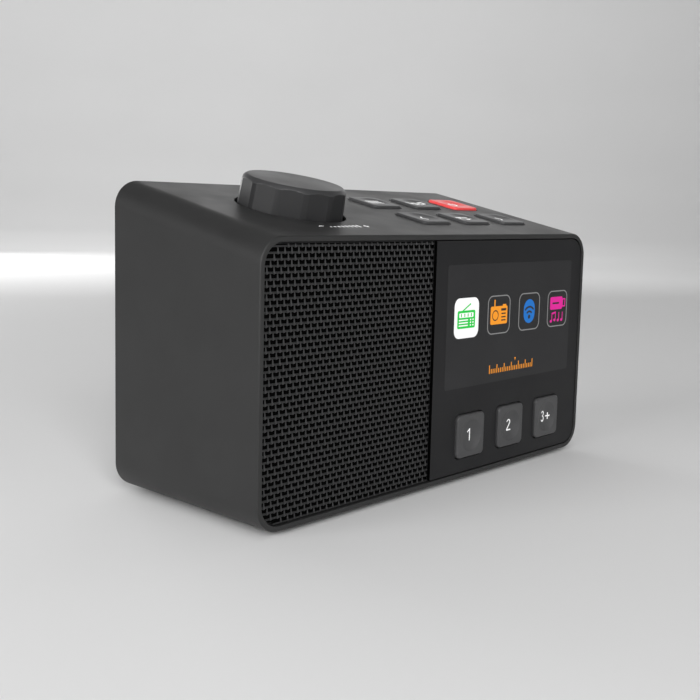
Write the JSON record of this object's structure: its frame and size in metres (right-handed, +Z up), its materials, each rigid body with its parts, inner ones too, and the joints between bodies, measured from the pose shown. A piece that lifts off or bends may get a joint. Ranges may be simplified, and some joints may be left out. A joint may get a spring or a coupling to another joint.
{
  "type": "tabletop radio",
  "caption": "Compact tabletop radio: sloping-top case, woven speaker grille, colour display, preset and top keys, volume knob and a folding telescopic rod aerial.",
  "frame": {"origin": "on the surface the radio stands on, under the middle of its overall width and depth", "axes": "+X to the right along the front, which is the longest side; +Y towards the back; +Z up; the front faces -Y"},
  "size_m": [0.18, 0.083, 0.1114],
  "materials": {
    "shell": "fine-grained moulded ABS, dark grey",
    "grille": "woven-pattern grille, satin dark grey",
    "cloth": "black acoustic cloth",
    "fascia": "satin black moulded panel",
    "window": "smoked acrylic window with a lit colour screen behind it",
    "inner_plastic": "plain black moulded plastic",
    "rear": "textured black moulded plastic",
    "key": "satin dark grey keycap with white printing",
    "key_red": "satin red keycap with white printing",
    "knob": "satin dark grey moulded knob",
    "rubber": "black rubber",
    "steel": "zinc-plated steel",
    "chrome": "bright plated metal",
    "magnet": "ferrite ring between steel plates",
    "paper": "pressed paper cone",
    "board": "green circuit board with soldered parts",
    "display": "liquid crystal display module"
  },
  "bodies": {
    "case": {"case_shell": "shell", "speaker_grille": "grille", "grille_cloth": "cloth", "fascia_panel": "fascia", "display_window": "window", "front_baffle": "inner_plastic", "display_module": "display", "display_board": "board", "top_key_board": "board", "preset_key_board": "board", "encoder_body": "steel", "encoder_nut": "steel", "speaker_basket": "steel", "speaker_surround": "rubber", "speaker_cone": "paper", "speaker_dust_cap": "paper", "speaker_magnet": "magnet", "speaker_screw_1": "steel", "speaker_screw_2": "steel", "speaker_screw_3": "steel", "speaker_screw_4": "steel", "main_board": "board", "tuner_shield": "chrome", "power_socket": "inner_plastic", "line_socket": "inner_plastic", "headphone_socket": "inner_plastic", "usb_socket": "chrome", "rear_cover": "rear", "rear_screw_1": "steel", "rear_screw_2": "steel", "rear_screw_3": "steel", "rear_screw_4": "steel", "foot_1": "rubber", "foot_2": "rubber", "foot_3": "rubber", "foot_4": "rubber", "aerial_ledge": "rear"},
    "knob": {"volume_knob": "knob", "encoder_shaft": "steel"},
    "top_key_1": {"top_key_1": "key"},
    "top_key_2": {"top_key_2": "key"},
    "top_key_3": {"top_key_3": "key"},
    "top_key_4": {"top_key_4": "key"},
    "top_key_5": {"top_key_5": "key"},
    "top_power_key": {"top_power_key": "key_red"},
    "preset_key_1": {"preset_key_1": "key"},
    "preset_key_2": {"preset_key_2": "key"},
    "preset_key_3": {"preset_key_3": "key"},
    "aerial_base": {"aerial_swivel": "rear", "aerial_pin": "steel"},
    "aerial_arm": {"aerial_section_1": "chrome"},
    "aerial_tube_2": {"aerial_section_2": "chrome"},
    "aerial_tube_3": {"aerial_section_3": "chrome"},
    "aerial_tube_4": {"aerial_section_4": "chrome"},
    "aerial_rod": {"aerial_section_5": "chrome", "aerial_tip": "chrome"}
  },
  "joints": [
    {"name": "knob_turn", "type": "hinge", "parent": "case", "child": "knob", "pos_m": [-0.045, -0.00544, 0.09825], "axis": [0, -0.2141, 0.9768], "continuous": true},
    {"name": "top_key_1_press", "type": "slide", "parent": "case", "child": "top_key_1", "axis": [0, 0.2141, -0.9768], "range_m": [0, 0.0006], "stiffness_N_per_m": 2500},
    {"name": "top_key_2_press", "type": "slide", "parent": "case", "child": "top_key_2", "axis": [0, 0.2141, -0.9768], "range_m": [0, 0.0006], "stiffness_N_per_m": 2500},
    {"name": "top_key_3_press", "type": "slide", "parent": "case", "child": "top_key_3", "axis": [0, 0.2141, -0.9768], "range_m": [0, 0.0006], "stiffness_N_per_m": 2500},
    {"name": "top_key_4_press", "type": "slide", "parent": "case", "child": "top_key_4", "axis": [0, 0.2141, -0.9768], "range_m": [0, 0.0006], "stiffness_N_per_m": 2500},
    {"name": "top_key_5_press", "type": "slide", "parent": "case", "child": "top_key_5", "axis": [0, 0.2141, -0.9768], "range_m": [0, 0.0006], "stiffness_N_per_m": 2500},
    {"name": "top_power_key_press", "type": "slide", "parent": "case", "child": "top_power_key", "axis": [0, 0.2141, -0.9768], "range_m": [0, 0.0006], "stiffness_N_per_m": 2500},
    {"name": "preset_key_1_press", "type": "slide", "parent": "case", "child": "preset_key_1", "axis": [0, 1, 0], "range_m": [0, 0.0006], "stiffness_N_per_m": 2500},
    {"name": "preset_key_2_press", "type": "slide", "parent": "case", "child": "preset_key_2", "axis": [0, 1, 0], "range_m": [0, 0.0006], "stiffness_N_per_m": 2500},
    {"name": "preset_key_3_press", "type": "slide", "parent": "case", "child": "preset_key_3", "axis": [0, 1, 0], "range_m": [0, 0.0006], "stiffness_N_per_m": 2500},
    {"name": "aerial_swing", "type": "hinge", "parent": "case", "child": "aerial_base", "pos_m": [0.072, 0.0381, 0.0935], "axis": [0, 1, 0], "range_deg": [0, 180]},
    {"name": "aerial_tilt", "type": "hinge", "parent": "aerial_base", "child": "aerial_arm", "pos_m": [0.072, 0.0381, 0.0935], "axis": [0, 0, -1], "range_deg": [0, 90]},
    {"name": "aerial_slide_2", "type": "slide", "parent": "aerial_arm", "child": "aerial_tube_2", "axis": [-1, 0, 0], "range_m": [0, 0.096]},
    {"name": "aerial_slide_3", "type": "slide", "parent": "aerial_tube_2", "child": "aerial_tube_3", "axis": [-1, 0, 0], "range_m": [0, 0.096]},
    {"name": "aerial_slide_4", "type": "slide", "parent": "aerial_tube_3", "child": "aerial_tube_4", "axis": [-1, 0, 0], "range_m": [0, 0.096]},
    {"name": "aerial_slide_5", "type": "slide", "parent": "aerial_tube_4", "child": "aerial_rod", "axis": [-1, 0, 0], "range_m": [0, 0.096]}
  ]
}
